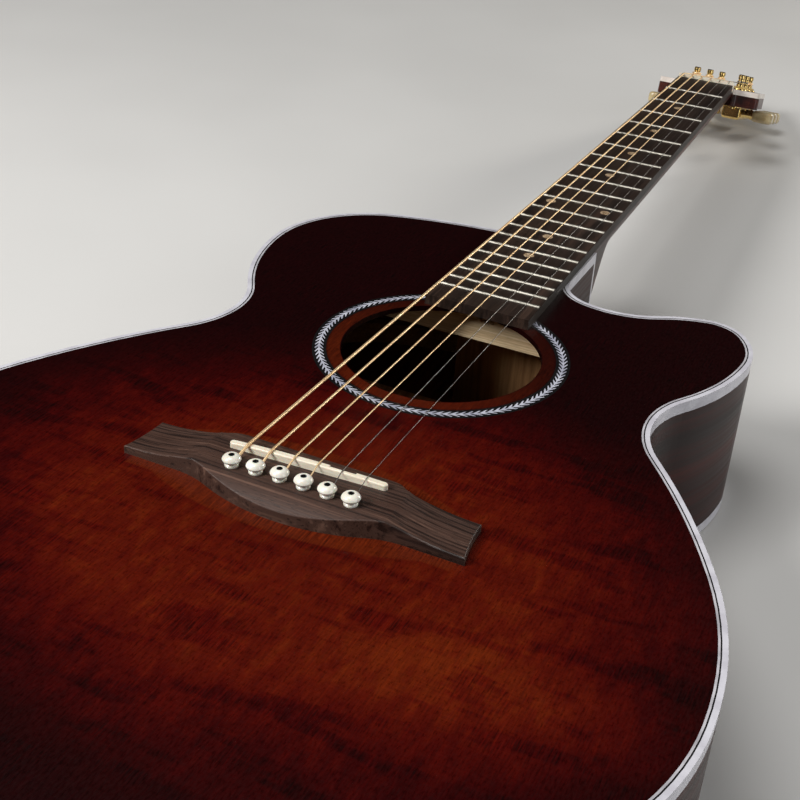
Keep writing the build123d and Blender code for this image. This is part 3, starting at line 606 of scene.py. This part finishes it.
def herringbone():
    """The inlaid ring: black lines either side of a white spine with slanted strokes."""
    low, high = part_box("rosette")
    outer_r = (high.x - low.x) / 2
    inner_r = outer_r - ring_width
    middle_r = (outer_r + inner_r) / 2
    lead = stroke_slant / middle_r
    rings = [
        (inner_r, lead, edge_shares),
        (inner_r + edge_line, lead, edge_shares),
        (middle_r - half_spine, 0.0, spine_shares),
        (middle_r + half_spine, 0.0, spine_shares),
        (outer_r - edge_line, lead, edge_shares),
        (outer_r, lead, edge_shares),
    ]
    inner_row, spine_row, outer_row = 1, 2, 3
    pitch = tau / stroke_count
    vertices, faces, kinds = [], [], []
    for radius, shift, shares in rings:
        for k in range(stroke_count):
            for share in shares:
                angle = shift - (k + share) * pitch
                vertices.append((radius * cos(angle), radius * sin(angle), high.z))
    row = stroke_count * len(edge_shares)
    last = (len(rings) - 1) * row
    for ring in range(len(rings) - 1):
        for j in range(row):
            a, b = ring * row + j, ring * row + (j + 1) % row
            faces.append((a, b, b + row, a + row))
            stroke = ring in (inner_row, outer_row) and j % len(edge_shares) in white_shares
            kinds.append(1 if stroke or ring == spine_row else 0)
    under = len(vertices)
    for start in (0, last):
        vertices += [(x, y, low.z) for x, y, _ in vertices[start:start + row]]
    for j in range(row):
        a, b = j, (j + 1) % row
        faces.append((a, under + a, under + b, b))
        faces.append((last + a, last + b, under + row + b, under + row + a))
        faces.append((under + a, under + row + a, under + row + b, under + b))
        kinds += [0, 0, 0]
    materials = [purfling_dark, chevron_white]
    piece = add_mesh("rosette_herringbone", vertices, faces, materials, smooth=False)
    piece.data.polygons.foreach_set("material_index", kinds)
    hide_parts("rosette")


tail_steps, tail_sides = 6, 12
overlap = 0.4
inside_string = 0.97


def string_tail(name, start, heading, end, radius, material):
    """The short free length from a string's end to the turns on its post, in millimetres."""
    start, heading, end = Vector(start), Vector(heading), Vector(end)
    bend = start - heading * ((end - start).length * 0.5)
    start = start + heading * overlap
    points = []
    for j in range(tail_steps + 1):
        t = j / tail_steps
        points.append((1 - t) ** 2 * start + 2 * t * (1 - t) * bend + t**2 * end)
    vertices, faces = [], []
    for j, point in enumerate(points):
        along = (points[min(j + 1, tail_steps)] - points[max(j - 1, 0)]).normalized()
        side = along.cross(Vector((0, 0, 1))).normalized()
        top = side.cross(along)
        for k in range(tail_sides):
            turn = tau * k / tail_sides
            vertices.append((point + (cos(turn) * side + sin(turn) * top) * radius) * mm)
    for j in range(tail_steps):
        for k in range(tail_sides):
            a, b = j * tail_sides + k, j * tail_sides + (k + 1) % tail_sides
            faces.append((a, b, b + tail_sides, a + tail_sides))
    far_end = tail_steps * tail_sides
    faces.append(tuple(reversed(range(tail_sides))))
    faces.append(tuple(range(far_end, far_end + tail_sides)))
    add_mesh(name, vertices, faces, [material], smooth=True)


# For each string: where it ends, the way back to the nut, where it meets its turns, its radius.
string_ends = [
    ((-15.20, 562.64, -4.20), (-0.072, -0.963, 0.259), (-15.60, 566.70, -3.87), 0.675),
    ((-11.93, 601.53, -15.33), (0.010, -0.964, 0.265), (-12.64, 605.11, -15.03), 0.535),
    ((-8.88, 640.41, -26.46), (0.041, -0.963, 0.267), (-9.67, 643.53, -26.18), 0.405),
    ((8.99, 640.75, -26.56), (-0.042, -0.963, 0.267), (9.77, 643.50, -26.28), 0.305),
    ((12.27, 602.66, -15.65), (-0.013, -0.965, 0.262), (12.97, 605.02, -15.35), 0.205),
    ((15.57, 564.42, -4.70), (0.062, -0.967, 0.249), (16.13, 566.56, -4.38), 0.150),
]
for i, (start, heading, end, radius) in enumerate(string_ends):
    wire, slot = (wire_bronze, "wound_string") if i < wound_count else (wire_plain, "plain_string")
    string_tail(f"string_tail_{i + 1}", start, heading, end, radius * inside_string, wire)
herringbone()


# ---- stage: floor, light and camera ----
front_y, tail_y = 156.6, -332.0
front_depth, tail_depth = 85.0, 107.0
floor_gap = 0.4
floor_half = 6000


def make_floor():
    """A pale plane that lies flat under the tilted back."""
    slope = (tail_depth - front_depth) / (front_y - tail_y)
    level = -(front_depth + slope * front_y) - floor_gap
    corners = [(-1, -1), (1, -1), (1, 1), (-1, 1)]
    places = [(x * floor_half, y * floor_half) for x, y in corners]
    vertices = [(x * mm, y * mm, (level + slope * y) * mm) for x, y in places]
    mesh = bpy.data.meshes.new("floor")
    mesh.from_pydata(vertices, [], [(0, 1, 2, 3)])
    mesh.materials.append(floor_paint())
    floor = bpy.data.objects.new("floor", mesh)
    scene.collection.objects.link(floor)


def area_light(name, place, target, size, watts, colour):
    data = bpy.data.lights.new(name, "AREA")
    data.shape = "DISK"
    data.size = size
    data.energy = watts
    data.color = colour
    lamp = bpy.data.objects.new(name, data)
    lamp.location = place
    lamp.rotation_euler = (Vector(target) - Vector(place)).to_track_quat("-Z", "Y").to_euler()
    scene.collection.objects.link(lamp)


sensor_width, focal_length = 36, 59.733
camera_place = Vector((214.39, -534.21, 308.61)) * mm
camera_forward = Vector((-0.34682, 0.78935, -0.5066)).normalized()
camera_roll = radians(3.752)


def make_camera():
    data = bpy.data.cameras.new("camera")
    data.sensor_width = sensor_width
    data.lens = focal_length
    data.clip_start, data.clip_end = 0.01, 50
    camera = bpy.data.objects.new("camera", data)
    level_right = camera_forward.cross(Vector((0, 0, 1))).normalized()
    level_up = level_right.cross(camera_forward)
    right = cos(camera_roll) * level_right + sin(camera_roll) * level_up
    up = right.cross(camera_forward)
    turn = Matrix((right, up, -camera_forward)).transposed().to_4x4()
    camera.matrix_world = Matrix.Translation(camera_place) @ turn
    scene.collection.objects.link(camera)
    scene.camera = camera


def make_world():
    world = bpy.data.worlds.new("studio")
    world.use_nodes = True
    background = world.node_tree.nodes["Background"].inputs
    background["Color"].default_value = (0.9, 0.93, 1.0, 1)
    background["Strength"].default_value = 0.014
    scene.world = world


# Name, place, target, size in metres, watts, colour.
lamps = [
    ("key", (-1.2, -1.42, 1.3), (0, 0, 0), 0.8, 50, (1.0, 0.985, 0.96)),
    ("top", (-0.45, -0.45, 2.0), (0, 0, 0), 1.1, 20, (1.0, 0.99, 0.975)),
    ("fill", (1.6, -0.30, 0.65), (0.05, 0.05, -0.03), 1.0, 8, (0.96, 0.98, 1.0)),
    ("back", (1.15, 1.85, 0.65), (0, 0.1, 0), 0.45, 16, (1.0, 0.96, 0.88)),
]
make_floor()
for lamp in lamps:
    area_light(*lamp)
make_world()
make_camera()
scene.view_settings.view_transform = "Standard"
